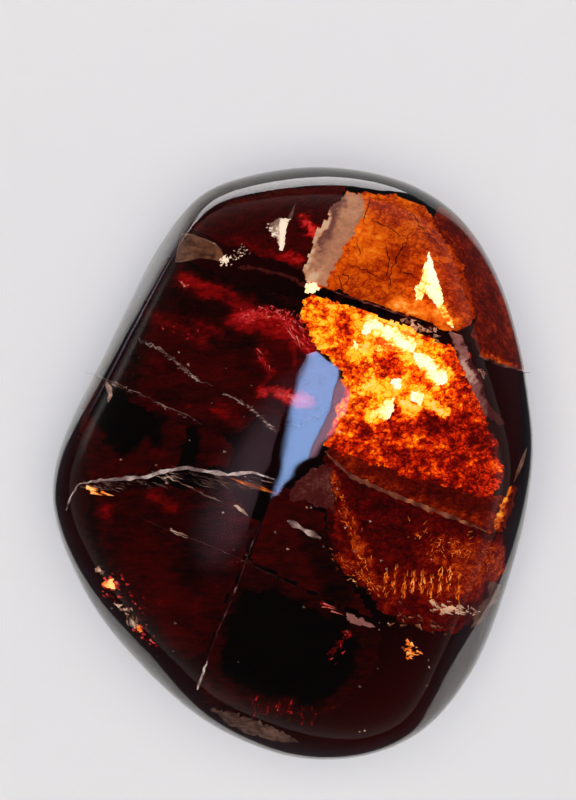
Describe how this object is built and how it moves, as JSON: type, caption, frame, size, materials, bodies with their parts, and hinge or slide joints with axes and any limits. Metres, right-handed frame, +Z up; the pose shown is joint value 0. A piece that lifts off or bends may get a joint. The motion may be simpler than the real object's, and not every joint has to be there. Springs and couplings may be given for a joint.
{
  "type": "polished villiaumite pebble",
  "caption": "Tumbled and polished pebble of see-through wine-red villiaumite: rounded block with a soft crest, broad bevels and a small flat to rest on.",
  "frame": {"origin": "under the middle of the bounding box, on the flat that the pebble lies on", "axes": "+Z up, out of the polished crest; +Y towards the top of the stone along its longest extent; +X to the right of the stone seen from above"},
  "size_m": [0.0406, 0.05, 0.0218],
  "materials": {
    "villiaumite": "glassy polish on deep wine-red see-through crystal, refractive index 1.33"
  },
  "bodies": {
    "root": {"villiaumite": "villiaumite"}
  },
  "joints": []
}
